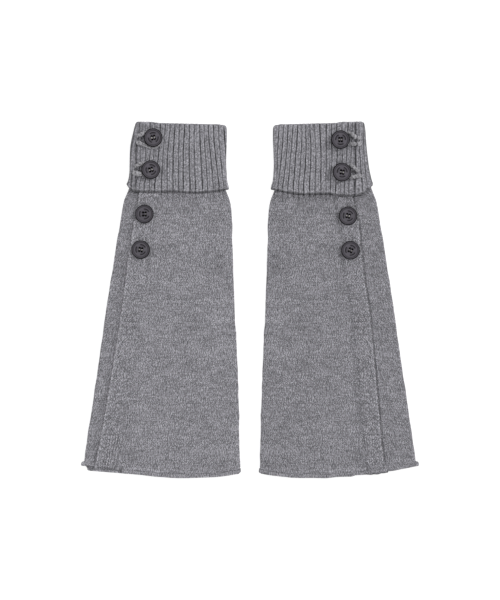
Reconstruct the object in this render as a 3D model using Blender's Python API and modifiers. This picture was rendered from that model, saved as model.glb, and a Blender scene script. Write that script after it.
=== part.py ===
"""A pair of knitted leg warmers, lying flat on a table with their rib cuffs turned down.

Each warmer is a tube of plain knit that closes with an overlap along its outer side. The front panel
ends there in a rib button band, which lies on the under strip, the other end of the same tube. Above
them a doubled rib cuff is folded down over the seam. Its flap laps over the front and carries two yarn
loops, which hold the two upper buttons. Two more buttons sit on the band.

Lengths are in millimetres. A point is (out, up, high): out is the distance from the middle line between
the two warmers, towards a warmer's outer side, up grows towards the cuffs, and high is the height above
the table. The layers' heights are those of the middle of their walls.
"""

import math

import bpy
import numpy as np

MM = 0.001  # one millimetre in Blender's metres

GAP = 0.3  # between neighbouring layers and pieces
BODY_WALL = 1.4
CUFF_WALL = 1.8
BODY_PITCH = BODY_WALL + GAP  # from one layer to the next
CUFF_PITCH = CUFF_WALL + GAP

SEAM_UP = 139.0  # the seam that joins body and cuff
HEM_CURL = 4.0  # how far the curled hem turns back
CUFF_RISE = (108.0, 126.0)  # where the body climbs onto the turned-down back of the cuff
HEM_RISE = (-163.0, -182.0)  # where it climbs onto its own curled hem

# The ups of the rows of points before each fold.
BODY_ROWS = np.array([
    SEAM_UP, 133, 126, 121, 117, 113, 108, 80, 40, 0, -45, -90, -135, -163, -170, -176, -182,
])
CUFF_ROWS = np.array([SEAM_UP + GAP, 161, 183])

BAND_WIDTH = 26.0
UNDERLAP = 18.0  # how far the under strip reaches below the band
BAND_FALL = (18.6, 24.6)  # the stretch of the band that comes down from the under strip
CUFF_FALL = 8.0  # the same on the cuff

FLAP_REACH = 2.7  # how far the flap's fold stands out from its centre
FLAP_NEST = 0.7  # the fold of the under strip lies this much inside the flap's
FRONT_INSET = 0.3  # the front's edge stops this far short of the flap fold's centre
FLAP_STEP = 4.0  # a loop climbs onto the flap over this distance, and as far before its edge

# The body's two side folds. Columns: up, outer fold, inner fold.
BODY_OUTLINE = {
    "left": (
        (139.0, 140.6, 29.0),
        (134.0, 141.6, 28.8),
        (129.0, 143.2, 28.0),
        (123.6, 145.3, 25.8),
        (117.7, 147.8, 23.6),
        (100.0, 151.5, 21.3),
        (60.0, 157.9, 20.2),
        (-6.2, 168.6, 17.9),
        (-77.0, 178.6, 14.2),
        (-130.0, 186.3, 12.6),
        (-147.8, 189.5, 12.4),
        (-210.0, 197.7, 11.4),
    ),
    "right": (
        (139.0, 141.6, 29.6),
        (134.0, 142.8, 29.4),
        (129.0, 144.4, 28.8),
        (123.6, 146.3, 26.8),
        (117.7, 148.7, 24.6),
        (100.0, 152.4, 22.1),
        (60.0, 158.8, 20.9),
        (-6.2, 169.3, 18.5),
        (-77.0, 179.2, 15.2),
        (-147.8, 189.8, 12.9),
        (-210.0, 198.6, 11.6),
    ),
}
OUTER, INNER = 1, 2

# The front edge of the button band. Columns: up, out.
BAND_EDGE = {
    "left": (
        (139.0, 130.4),
        (124.2, 130.9),
        (110.0, 133.2),
        (96.3, 136.0),
        (69.9, 140.6),
        (23.9, 147.0),
        (-33.9, 154.8),
        (-117.7, 168.5),
        (-210.0, 185.2),
    ),
    "right": (
        (139.0, 119.2),
        (124.2, 121.3),
        (92.3, 128.6),
        (47.5, 133.3),
        (23.0, 136.3),
        (-10.3, 141.6),
        (-77.6, 148.0),
        (-148.4, 154.8),
        (-181.4, 157.8),
        (-210.0, 161.0),
    ),
}

# The lowest points of the body's hem. Columns: across the tube as in body_section, up.
BODY_HEM = {
    "left": (
        (0.0, -201.6),
        (0.2, -206.2),
        (0.36, -208.4),
        (0.5, -209.6),
        (0.75, -208.8),
        (0.9, -207.2),
        (1.0, -205.2),
        (2.0, -203.6),
        (2.5, -206.6),
        (2.86, -203.2),
        (2.96, -201.4),
        (3.0, -196.8),
        (4.0, -195.4),
        (5.0, -197.6),
    ),
    "right": (
        (0.0, -206.2),
        (0.2, -208.2),
        (0.4, -209.7),
        (0.7, -209.3),
        (0.8, -208.2),
        (0.95, -205.7),
        (1.0, -204.9),
        (2.0, -203.2),
        (2.5, -206.2),
        (2.8, -201.6),
        (2.96, -197.2),
        (3.0, -196.0),
        (4.0, -195.6),
        (4.3, -199.4),
        (4.6, -202.1),
        (5.0, -203.6),
    ),
}

NEAR_OUTER_FOLD = 2.96  # the hem is cut short beyond this place across the tube

# The lower end of the button band. Columns: distance from its front edge, up.
BAND_HEM = {
    "left": ((0.0, -198.4), (9.0, -197.4), (26.0, -199.2)),
    "right": ((0.0, -203.0), (10.0, -204.8), (26.0, -206.2)),
}

# The cuff's side folds and the edge of its flap. Columns: up, outer fold, inner fold, flap edge.
CUFF_OUTLINE = {
    "left": (
        (206.0, 135.0, 28.4, 129.8),
        (200.8, 136.7, 27.2, 130.6),
        (189.0, 139.5, 27.0, 132.2),
        (177.0, 141.0, 27.4, 133.8),
        (159.0, 141.6, 27.7, 134.1),
        (149.0, 141.9, 27.0, 134.3),
        (141.8, 142.9, 26.4, 134.4),
        (137.6, 144.2, 25.8, 134.4),
        (135.6, 145.6, 25.2, 134.4),
        (129.0, 145.8, 24.2, 134.4),
    ),
    "right": (
        (206.0, 135.2, 28.4, 124.8),
        (200.8, 136.1, 27.3, 124.8),
        (189.0, 136.9, 27.3, 124.7),
        (177.0, 138.0, 27.7, 124.7),
        (159.5, 139.8, 28.2, 124.6),
        (150.0, 141.6, 27.9, 124.5),
        (141.8, 143.6, 27.2, 124.4),
        (137.6, 145.0, 26.4, 124.3),
        (135.4, 146.4, 25.6, 124.2),
        (132.6, 146.4, 25.0, 124.1),
        (130.4, 144.6, 24.8, 124.0),
        (124.0, 144.4, 24.8, 124.0),
    ),
}
FLAP = 3

# The axis of the cuff's top fold. Columns: across the cuff as in cuff_section, up.
CUFF_TOP = (
    (0.0, 208.0),
    (1.0, 208.0),
    (2.0, 206.7),
    (2.5, 205.8),
    (3.0, 204.8),
    (3.5, 203.0),
    (4.0, 204.6),
    (5.0, 205.0),
    (6.0, 206.0),
    (7.0, 206.0),
)

# The lower edge of the turned-down part. Columns: across the cuff, up.
CUFF_HEM = {
    "left": (
        (0.0, 131.0),
        (0.5, 128.8),
        (1.0, 128.6),
        (2.25, 128.9),
        (2.5, 127.6),
        (2.8, 128.4),
        (3.0, 130.4),
        (4.0, 130.0),
        (4.5, 128.6),
        (5.0, 134.4),
        (5.5, 137.0),
        (6.0, 132.0),
        (6.5, 129.4),
        (7.0, 127.2),
    ),
    "right": (
        (0.0, 129.0),
        (0.5, 122.8),
        (1.0, 123.8),
        (1.3, 124.4),
        (2.1, 125.2),
        (2.4, 124.8),
        (2.6, 125.4),
        (3.0, 129.8),
        (4.0, 130.0),
        (4.5, 128.6),
        (5.0, 134.4),
        (5.5, 136.4),
        (6.0, 131.4),
        (6.5, 125.8),
        (7.0, 122.9),
    ),
}

BUTTON_RADIUS = 10.95
BUTTON_STEPS = 20
# From the axis over the dished face and the rim to the back. Columns: radius, height.
BUTTON_PROFILE = (
    (0.0, 1.9),
    (7.6, 2.0),
    (8.6, 2.8),
    (9.9, 2.8),
    (BUTTON_RADIUS, 1.9),
    (BUTTON_RADIUS, 0.8),
    (9.8, 0.0),
    (0.0, 0.0),
)
HOLE_RADIUS = 0.8
HOLE_OFFSET = 1.55  # from the button's axis, along each diagonal's legs
HOLE_SIDES = 8

# The buttons from top to bottom. Columns: out, up.
BUTTONS = {
    "left": ((113.5, 190.8), (116.2, 153.0), (124.0, 101.2), (128.3, 59.2)),
    "right": ((106.5, 188.4), (108.3, 150.2), (115.7, 99.0), (118.6, 58.5)),
}

LOOP_RADIUS = 1.5
LOOP_POINTS = 18
# The loops' routes, each from the flap round its button and back, from the button's axis. Columns: out, up.
LOOPS = {
    ("left", 0): ((19.6, 1.7), (16.4, 2.7), (9.4, 5.9), (2.0, 7.4), (-5.4, 4.8), (-8.4, -2.4), (-6.4, -8.8),
                  (-1.0, -11.6), (4.6, -11.2), (12.4, -7.9), (16.4, -6.3), (19.6, -5.6)),
    ("left", 1): ((19.0, 3.9), (15.6, 5.2), (10.0, 7.6), (4.0, 7.8), (-3.0, 5.0), (-5.0, -0.4), (-2.6, -4.4),
                  (3.6, -5.8), (10.0, -5.2), (16.6, -4.4), (21.4, -3.2)),
    ("right", 0): ((24.6, 2.4), (22.4, 2.2), (18.2, 2.8), (13.4, 6.6), (8.0, 8.4), (2.0, 8.0), (-4.0, 4.4),
                   (-4.6, -1.4), (0.6, -5.2), (9.6, -5.2), (18.8, -4.9), (22.0, -4.5), (24.4, -4.0)),
    ("right", 1): ((20.4, 1.0), (18.0, 2.0), (14.4, 5.4), (9.6, 8.4), (2.6, 7.4), (-3.8, 4.4), (-4.6, -1.4),
                   (1.0, -5.4), (9.0, -6.0), (16.4, -5.0), (20.4, -4.5), (23.8, -4.3)),
}

SIDES = {"left": -1, "right": 1}  # the way a warmer's outer side faces along X
KNIT_GREY = (0.238, 0.234, 0.252)
RIB_GREY = (0.216, 0.212, 0.229)
YARN_GREY = (0.300, 0.296, 0.312)
BUTTON_GREY = (0.092, 0.082, 0.099)


def ramp(x, start, end):
    """0 up to start, 1 from end on, and smooth between."""
    share = np.clip((x - start) / (end - start), 0, 1)
    return share * share * (3 - 2 * share)


def blend(first, second, share):
    return first + (second - first) * share


def through(rows, x, column=1):
    """The value at x of a smooth curve through a table's rows, which doesn't overshoot between them."""
    rows = sorted(rows)
    at = np.array([row[0] for row in rows])
    value = np.array([row[column] for row in rows])
    chord = np.diff(value) / np.diff(at)
    slope = np.concatenate([chord[:1], (chord[1:] + chord[:-1]) / 2, chord[-1:]])
    slope[1:-1][chord[1:] * chord[:-1] <= 0] = 0
    steepest = 3 * np.minimum(np.abs(np.append(chord, chord[-1])), np.abs(np.insert(chord, 0, chord[0])))
    slope = np.clip(slope, -steepest, steepest)
    x = np.clip(x, at[0], at[-1])
    i = np.clip(np.searchsorted(at, x, side="right") - 1, 0, len(at) - 2)
    width = at[i + 1] - at[i]
    t = (x - at[i]) / width
    start = (1 + 2 * t) * (1 - t) ** 2 * value[i] + t * (1 - t) ** 2 * width * slope[i]
    end = t * t * (3 - 2 * t) * value[i + 1] - t * t * (1 - t) * width * slope[i + 1]
    return start + end


def stations(*counts):
    """Places along a path of several stages, each cut into its own number of steps."""
    stages = [np.linspace(stage, stage + 1, count, endpoint=False) for stage, count in enumerate(counts)]
    return np.append(np.concatenate(stages), len(counts))


def body_layers(up):
    """(height of the body's back, pitch to the layer above it)."""
    on_cuff = ramp(up, *CUFF_RISE)
    on_hem = ramp(up, *HEM_RISE)
    back_on_cuff = CUFF_WALL / 2 + CUFF_PITCH
    back = blend(BODY_WALL / 2, back_on_cuff, on_cuff) + on_hem * BODY_PITCH
    return back, blend(BODY_PITCH, CUFF_PITCH, on_cuff)


def body_section(side, up, across, turned):
    """(out, high) of the flattened tube. across runs 0-1 over the front from the band's seam, 1-2 round
    the inner fold, 2-3 along the back, 3-4 round the outer fold and 4-5 along the under strip. The
    turned layer is the curled hem, one pitch outside the tube."""
    back, pitch = body_layers(up)
    outward = pitch if turned else 0
    radius = pitch / 2
    clear = radius + BODY_WALL / 2
    table = BODY_OUTLINE[side]
    inner = through(table, up, INNER) + clear
    outer = through(table, up, OUTER) - clear
    edge = through(BAND_EDGE[side], up)
    stage = np.minimum(across.astype(int), 4)
    part = across - stage
    bulge = (radius + outward) * np.sin(math.pi * part)
    tilt = (radius + outward) * np.cos(math.pi * part)
    out = (
        blend(edge - BAND_WIDTH - GAP, inner, part),
        inner - bulge,
        blend(inner, outer, part),
        outer + bulge,
        blend(outer, edge - UNDERLAP, part),
    )
    top = back + pitch + outward
    middle = back + radius
    high = (top, middle + tilt, back - outward, middle - tilt, top)
    return np.choose(stage, out), np.choose(stage, high)


def under_edge(side, up):
    """The hidden edge of the cuff's under strip: the flap's edge at the top, the body's at the seam."""
    top = CUFF_OUTLINE[side][0]
    at_seam = through(BAND_EDGE[side], np.minimum(up, SEAM_UP)) - UNDERLAP
    share = np.clip((up - SEAM_UP) / (top[0] - SEAM_UP), 0, 1)
    return blend(at_seam, top[FLAP], share)


def front_edge(side, up, turned):
    """The edge of the cuff's front layer, which on the turned-down part lies inside the flap's fold."""
    table = CUFF_OUTLINE[side]
    inside_fold = through(table, up, OUTER) - FLAP_REACH - CUFF_WALL / 2 - FRONT_INSET
    if turned:
        return inside_fold
    share = np.clip((up - SEAM_UP) / (table[0][0] - SEAM_UP), 0, 1)
    return blend(through(BAND_EDGE[side], up), inside_fold, share)


def cuff_section(side, up, across, turned):
    """(out, high) of the cuff. across runs 0-1 over the front where it lies on the under strip, 1-2 down
    from it, 2-3 over the rest of the front, 3-4 round the inner fold, 4-5 along the back, 5-6 round the
    outer fold and 6-7 along the under strip or, on the turned-down part, the flap."""
    table = CUFF_OUTLINE[side]
    level = 1 if turned else 0
    back = CUFF_WALL / 2 + (1 - level) * CUFF_PITCH
    front = CUFF_WALL / 2 + (2 + level) * CUFF_PITCH
    last = front + 2 * level * CUFF_PITCH
    middle = (back + front) / 2
    radius = (front - back) / 2
    inner = through(table, up, INNER) + 1.5 * CUFF_PITCH + CUFF_WALL / 2
    outer = through(table, up, OUTER) - FLAP_REACH - CUFF_WALL / 2 - (1 - level) * FLAP_NEST
    reach = FLAP_REACH if turned else radius
    fall_start = under_edge(side, up) - 2 * GAP
    fall_end = fall_start - CUFF_FALL
    last_edge = through(table, up, FLAP) if turned else under_edge(side, up)
    stage = np.minimum(across.astype(int), 6)
    part = across - stage
    sine = np.sin(math.pi * part)
    cosine = np.cos(math.pi * part)
    out = (
        blend(front_edge(side, up, turned), fall_start, part),
        blend(fall_start, fall_end, part),
        blend(fall_end, inner, part),
        inner - radius * sine,
        blend(inner, outer, part),
        outer + reach * sine,
        blend(outer, last_edge, part),
    )
    high = (
        front + CUFF_PITCH,
        front + CUFF_PITCH * (1 - ramp(part, 0, 1)),
        front,
        middle + radius * cosine,
        back,
        (back + last) / 2 - (last - back) / 2 * cosine,
        last,
    )
    return np.choose(stage, out), np.choose(stage, high)


def turned_sheet(section, side, across, rows, fold, end, steps, way):
    """(out, up, high) grids of a sheet that runs from its seam to a fold and turns back on itself. rows
    are the ups of its rows before the fold, fold is that of the fold's axis, end is where the turned part
    ends, steps says how many rows go round the fold and back, and way is 1 for a fold at the top."""
    lead = np.broadcast_to(rows[:, None], (len(rows), len(across)))
    along = stations(*steps)[:, None]
    up = np.concatenate([lead, blend(fold, end, np.clip(along - 1, 0, 1))])
    angle = math.pi * np.concatenate([0 * rows[:, None], np.clip(along, 0, 1)])
    across = np.broadcast_to(across, up.shape)
    first_out, first_high = section(side, up, across, False)
    second_out, second_high = section(side, up, across, True)
    share = (1 - np.cos(angle)) / 2
    half = np.hypot(second_out - first_out, second_high - first_high) / 2
    out = blend(first_out, second_out, share)
    high = blend(first_high, second_high, share)
    return out, up + way * half * np.sin(angle), high


def band_high(side, up, offset):
    """The height of the button band at a distance from its front edge: over the under strip and its
    curled hem, then down to the panel."""
    back, pitch = body_layers(up)
    over_curl = ramp(up, *HEM_RISE) * BODY_PITCH
    on_strip = back + 2 * pitch + over_curl
    return blend(on_strip, back + pitch, ramp(offset, *BAND_FALL))


def cuff_top(side, out, up):
    """The upper surface of the turned-down cuff's front, and of the flap on it."""
    fall_start = under_edge(side, up) - 2 * GAP
    low = CUFF_WALL + 3 * CUFF_PITCH
    flap = through(CUFF_OUTLINE[side], up, FLAP)
    steps = ramp(out, fall_start - CUFF_FALL, fall_start) + ramp(out, flap - 2 * FLAP_STEP, flap - FLAP_STEP)
    return low + CUFF_PITCH * steps


def placed(side, out, up, high):
    """Points in metres, in the pair's frame."""
    return np.stack([SIDES[side] * out, up, high], axis=-1) * MM


def material(name, colour, roughness):
    made = bpy.data.materials.new(name)
    made.use_nodes = True
    shader = made.node_tree.nodes["Principled BSDF"]
    shader.inputs["Base Color"].default_value = (*colour, 1)
    shader.inputs["Roughness"].default_value = roughness
    shader.inputs["Metallic"].default_value = 0
    return made


def add(collection, name, data, surface):
    made = bpy.data.objects.new(name, data)
    collection.objects.link(made)
    if not data.materials:
        data.materials.append(surface)
    return made


def add_sheet(collection, name, points, wall, surface):
    """A piece of cloth: a loft through rows of points, with Solidify for its wall."""
    rows, columns = points.shape[:2]
    corner = np.arange(rows * columns).reshape(rows, columns)
    faces = np.stack([corner[:-1, :-1], corner[:-1, 1:], corner[1:, 1:], corner[1:, :-1]], axis=-1)
    mesh = bpy.data.meshes.new(name)
    mesh.from_pydata(points.reshape(-1, 3).tolist(), [], faces.reshape(-1, 4).tolist())
    mesh.shade_smooth()
    made = add(collection, name, mesh, surface)
    solid = made.modifiers.new("Wall", "SOLIDIFY")
    solid.thickness = wall * MM
    solid.offset = 0
    solid.use_even_offset = True
    return made


def add_body(collection, side, surface):
    """The plain-knit tube, its under strip and its curled hem."""
    across = np.sort(np.append(stations(5, 5, 7, 5, 3), NEAR_OUTER_FOLD))
    fold = through(BODY_HEM[side], across) + (BODY_PITCH + BODY_WALL) / 2
    sheet = turned_sheet(body_section, side, across, BODY_ROWS, fold, fold + HEM_CURL, (4, 2), -1)
    points = placed(side, *sheet)
    add_sheet(collection, f"body_{side}", points, BODY_WALL, surface)


def add_band(collection, side, surface):
    """The rib band along the front edge of the body."""
    offset = np.array([0, 9, BAND_FALL[0], sum(BAND_FALL) / 2, BAND_FALL[1], BAND_WIDTH])
    rows = np.broadcast_to(BODY_ROWS[:, None], (len(BODY_ROWS), len(offset)))
    up = np.vstack([rows, through(BAND_HEM[side], offset)])
    out = through(BAND_EDGE[side], up) - offset
    points = placed(side, out, up, band_high(side, up, offset))
    add_sheet(collection, f"band_{side}", points, BODY_WALL, surface)


def add_cuff(collection, side, surface):
    """The doubled rib cuff: from its seam up to the top fold, and down again on the outside."""
    across = stations(2, 2, 5, 5, 6, 6, 2)
    fold = through(CUFF_TOP, across)
    end = through(CUFF_HEM[side], across)
    sheet = turned_sheet(cuff_section, side, across, CUFF_ROWS, fold, end, (4, 5), 1)
    points = placed(side, *sheet)
    add_sheet(collection, f"cuff_{side}", points, CUFF_WALL, surface)


def loop_route(side, number):
    """Points along a yarn loop, evenly spaced on a smooth curve: it rests on the cuff and the flap."""
    centre = np.array(BUTTONS[side][number])
    knots = np.array(LOOPS[side, number]) + centre
    place = np.insert(np.cumsum(np.hypot(*np.diff(knots, axis=0).T)), 0, 0)
    at = np.linspace(0, place[-1], LOOP_POINTS)
    out = through(list(zip(place, knots[:, 0])), at)
    up = through(list(zip(place, knots[:, 1])), at)
    high = cuff_top(side, out, up) + GAP + LOOP_RADIUS
    return out, up, high


def add_loop(collection, side, number, surface):
    curve = bpy.data.curves.new(f"loop_{side}_{number + 1}", "CURVE")
    curve.dimensions = "3D"
    curve.bevel_depth = LOOP_RADIUS * MM
    curve.bevel_resolution = 2
    curve.use_fill_caps = True
    spline = curve.splines.new("POLY")
    points = placed(side, *loop_route(side, number))
    spline.points.add(len(points) - 1)
    for point, place in zip(spline.points, points):
        point.co = (*place, 1)
    add(collection, curve.name, curve, surface)


def button_base(side, number):
    """The height of a button's back: just above the loop below it, or above the band."""
    out, up = BUTTONS[side][number]
    if (side, number) in LOOPS:
        loop_out, loop_up, loop_high = loop_route(side, number)
        below = np.hypot(loop_out - out, loop_up - up) < BUTTON_RADIUS + LOOP_RADIUS
        return loop_high[below].max() + LOOP_RADIUS + GAP
    angle = np.linspace(0, 2 * math.pi, BUTTON_STEPS)
    rim_up = up + BUTTON_RADIUS * np.sin(angle)
    offset = through(BAND_EDGE[side], rim_up) - out - BUTTON_RADIUS * np.cos(angle)
    return band_high(side, rim_up, offset).max() + BODY_WALL / 2 + GAP


def cylinder_mesh(name, radius, height):
    """A prism with its ends at plus and minus half its height."""
    angle = np.arange(HOLE_SIDES) * 2 * math.pi / HOLE_SIDES
    ring = [(radius * math.cos(a) * MM, radius * math.sin(a) * MM) for a in angle]
    bottom = [(x, y, -height / 2 * MM) for x, y in ring]
    top = [(x, y, height / 2 * MM) for x, y in ring]
    count = HOLE_SIDES
    walls = [(i, (i + 1) % count, (i + 1) % count + count, i + count) for i in range(count)]
    caps = [tuple(range(count))[::-1], tuple(range(count, 2 * count))]
    mesh = bpy.data.meshes.new(name)
    mesh.from_pydata(bottom + top, [], walls + caps)
    return mesh


def button_mesh(cutters, surface):
    """One button: a turned disc with a dished face, and four holes through it."""
    profile = bpy.data.meshes.new("button_profile")
    edges = [(i, i + 1) for i in range(len(BUTTON_PROFILE) - 1)]
    profile.from_pydata([(radius * MM, 0, high * MM) for radius, high in BUTTON_PROFILE], edges, [])
    blank = bpy.data.objects.new("button_blank", profile)
    cutters.objects.link(blank)
    screw = blank.modifiers.new("Turn", "SCREW")
    screw.steps = BUTTON_STEPS
    screw.render_steps = BUTTON_STEPS
    screw.use_merge_vertices = True
    screw.merge_threshold = 0.00001
    drill = cylinder_mesh("button_drill", HOLE_RADIUS, 12)
    for x in (-1, 1):
        for y in (-1, 1):
            bit = bpy.data.objects.new("button_drill", drill)
            cutters.objects.link(bit)
            bit.location = (x * HOLE_OFFSET * MM, y * HOLE_OFFSET * MM, 0)
            cut = blank.modifiers.new("Hole", "BOOLEAN")
            cut.object = bit
    bpy.context.view_layer.update()
    graph = bpy.context.evaluated_depsgraph_get()
    mesh = bpy.data.meshes.new_from_object(blank.evaluated_get(graph))
    mesh.name = "button"
    mesh.materials.clear()
    mesh.materials.append(surface)
    mesh.shade_smooth()
    mesh.set_sharp_from_angle(angle=math.radians(30))
    return mesh


def main():
    for old in list(bpy.data.objects):
        bpy.data.objects.remove(old)
    pair = bpy.data.collections.new("leg_warmers")
    cutters = bpy.data.collections.new("cutters")
    for collection in (pair, cutters):
        bpy.context.scene.collection.children.link(collection)
    knit = material("plain_knit", KNIT_GREY, 0.9)
    rib = material("rib_knit", RIB_GREY, 0.9)
    yarn = material("yarn", YARN_GREY, 0.9)
    plastic = material("button_plastic", BUTTON_GREY, 0.5)
    button = button_mesh(cutters, plastic)
    for helper in cutters.objects:
        helper.hide_render = True
        helper.display_type = "WIRE"
    for side in SIDES:
        add_body(pair, side, knit)
        add_band(pair, side, rib)
        add_cuff(pair, side, rib)
        for number, (out, up) in enumerate(BUTTONS[side]):
            made = add(pair, f"button_{side}_{number + 1}", button, plastic)
            made.location = placed(side, out, up, button_base(side, number))
            if (side, number) in LOOPS:
                add_loop(pair, side, number, yarn)


main()
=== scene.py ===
import math

import bpy
import numpy as np
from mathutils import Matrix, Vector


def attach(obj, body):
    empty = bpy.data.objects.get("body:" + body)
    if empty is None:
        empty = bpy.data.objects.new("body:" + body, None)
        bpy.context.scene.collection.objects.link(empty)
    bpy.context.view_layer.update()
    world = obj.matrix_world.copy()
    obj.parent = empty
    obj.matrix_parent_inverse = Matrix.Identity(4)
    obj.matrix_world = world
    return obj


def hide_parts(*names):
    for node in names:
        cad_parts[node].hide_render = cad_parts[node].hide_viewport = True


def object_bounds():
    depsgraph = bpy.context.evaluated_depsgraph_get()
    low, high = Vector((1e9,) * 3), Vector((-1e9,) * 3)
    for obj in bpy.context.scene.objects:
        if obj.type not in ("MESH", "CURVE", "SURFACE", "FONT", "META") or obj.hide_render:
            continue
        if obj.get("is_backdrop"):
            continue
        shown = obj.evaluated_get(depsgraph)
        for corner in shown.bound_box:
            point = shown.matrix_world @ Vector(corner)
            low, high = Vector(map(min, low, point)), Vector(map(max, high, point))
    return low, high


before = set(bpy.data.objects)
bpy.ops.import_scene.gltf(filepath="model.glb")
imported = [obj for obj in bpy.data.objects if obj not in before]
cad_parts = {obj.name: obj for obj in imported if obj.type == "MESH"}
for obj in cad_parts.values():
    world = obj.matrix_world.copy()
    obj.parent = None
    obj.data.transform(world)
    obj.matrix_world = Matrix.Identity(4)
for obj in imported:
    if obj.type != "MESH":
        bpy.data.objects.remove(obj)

# The pair of knitted leg warmers of the CAD frame, with the shapes and surfaces of cloth. Lengths are in
# millimetres, and a point is (out, up, high) as in the part's source: out is the distance from the middle
# line between the warmers, up grows towards the cuffs, and high is the height above the table.

MM = 0.001

# ---- sizes

GAP = 0.3  # between pieces that lie on each other
SEAM_GAP = 0.04  # between the band and the body, which are knitted together
# The walls of the two knits, and the pitch from a layer to the one that lies on it.
BODY_WALL, BODY_PITCH = 1.4, 1.7
CUFF_WALL, CUFF_PITCH = 1.9, 2.1
SEAM_UP = 139.0  # the seam of body and cuff
CUFF_RISE = (108.0, 126.0)  # where the body rises on to the back of the turned-down cuff
HEM_RISE = (-163.0, -182.0)  # where it rises on to its own curled hem
HEM_CURL = 3.9  # how far above the hem's fold the curl ends
CURL_ROWS = 5  # the rows of points from the hem's fold to its end
CUFF_HEM_UP = 130.0  # about where the turned-down part of the cuff ends
BAND_WIDTH = 26.0
UNDERLAP = 18.0  # how far the under strip reaches below the band
BAND_FALL = (18.6, 24.6)  # where the band comes down from the under strip, from its front edge
CUFF_FALL = 8.0  # how broad the same fall is on the cuff
FLAP_REACH = 2.7  # how far the fold between the cuff's back and its flap stands out
FLAP_NEST = 0.7  # how much farther in the layer inside it folds
FRONT_INSET = 0.3  # how far inside that fold the cuff's front ends
FLAP_STEP = 4.0  # a loop comes down from the flap between one and two of these from its edge

# The body's two side folds. Columns: up, outer fold, inner fold.
BODY_OUTLINE = {
    "left": (
        (139, 140.6, 29), (134, 141.6, 28.8), (129, 143.2, 28), (123.6, 145.3, 25.8),
        (117.7, 147.8, 23.6), (100, 151.5, 21.3), (60, 157.9, 20.2), (-6.2, 168.6, 17.9),
        (-77, 178.6, 14.2), (-130, 186.3, 12.6), (-147.8, 189.5, 12.4), (-210, 197.7, 11.4),
    ),
    "right": (
        (139, 141.6, 29.6), (134, 142.8, 29.4), (129, 144.4, 28.8), (123.6, 146.3, 26.8),
        (117.7, 148.7, 24.6), (100, 152.4, 22.1), (60, 158.8, 20.9), (-6.2, 169.3, 18.5),
        (-77, 179.2, 15.2), (-147.8, 189.8, 12.9), (-210, 198.6, 11.6),
    ),
}
OUTER, INNER = 1, 2

# The front edge of the button band. Columns: up, out.
BAND_EDGE = {
    "left": (
        (139, 130.4), (124.2, 130.9), (110, 133.2), (96.3, 136), (69.9, 140.6), (23.9, 147),
        (-33.9, 154.8), (-117.7, 168.5), (-210, 185.2),
    ),
    "right": (
        (139, 119.2), (124.2, 121.3), (92.3, 128.6), (47.5, 133.3), (23, 136.3), (-10.3, 141.6),
        (-77.6, 148), (-148.4, 154.8), (-181.4, 157.8), (-210, 161),
    ),
}

# The lowest points of the body's hem. Columns: across the tube as in body_section, up.
BODY_HEM = {
    "left": (
        (0, -200.4), (0.04, -200.8), (0.05, -203.9), (0.12, -205.2), (0.22, -206.4), (0.36, -208.4),
        (0.5, -209.6), (0.75, -208.8), (0.9, -207.2), (1, -205.2), (2, -203.6), (2.5, -206.6),
        (2.82, -203.8), (2.93, -202), (2.979, -200.8), (2.984, -196.6), (3, -195.8), (4, -195.4),
        (5, -197.6),
    ),
    "right": (
        (0, -206.2), (0.08, -206.5), (0.13, -208.2), (0.24, -208.2), (0.4, -209.7), (0.7, -209.3),
        (0.8, -208.2), (0.95, -205.7), (1, -204.9), (2, -203.2), (2.5, -206.2), (2.8, -201.6),
        (2.88, -199.6), (2.95, -197.4), (3, -196), (4, -195.6), (4.18, -198.4), (4.32, -199.6),
        (4.45, -201), (4.6, -202.1), (5, -203.6),
    ),
}

# The lower end of the button band. Columns: distance from its front edge, up.
BAND_HEM = {
    "left": ((0, -199.2), (2.4, -199), (3.4, -196.8), (26, -199.2)),
    "right": ((0, -203), (10, -204.8), (26, -206.2)),
}

# The cuff's side folds and the edge of its flap. Columns: up, outer fold, inner fold, flap edge.
CUFF_OUTLINE = {
    "left": (
        (206, 135, 28.4, 129.8), (200.8, 136.7, 27.2, 130.6), (189, 139.5, 27, 132.2),
        (177, 141, 27.4, 133.8), (159, 141.6, 27.7, 134.1), (149, 141.9, 27, 134.3),
        (141.8, 142.9, 26.4, 134.4), (137.6, 144.2, 25.8, 134.4), (135.6, 145.6, 25.2, 134.4),
        (129, 145.8, 24.2, 134.4),
    ),
    "right": (
        (206, 135.2, 28.4, 124.8), (200.8, 136.1, 27.3, 124.8), (189, 136.9, 27.3, 124.7),
        (177, 138, 27.7, 124.7), (159.5, 139.8, 28.2, 124.6), (150, 141.6, 27.9, 124.5),
        (141.8, 143.6, 27.2, 124.4), (137.6, 145, 26.4, 124.3), (135.4, 146.4, 25.6, 124.2),
        (132.6, 146.4, 25, 124.1), (130.4, 144.6, 24.8, 124), (124, 144.4, 24.8, 124),
    ),
}
FLAP = 3

# The axis of the cuff's top fold. Columns: across the cuff as in cuff_section, up.
CUFF_TOP = (
    (0, 208), (1, 208), (2, 206.7), (2.5, 205.8), (2.9, 205.2), (2.98, 205.2), (3, 204.8),
    (3.5, 203), (4, 204.6), (5, 205), (6, 206), (7, 206),
)

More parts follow.
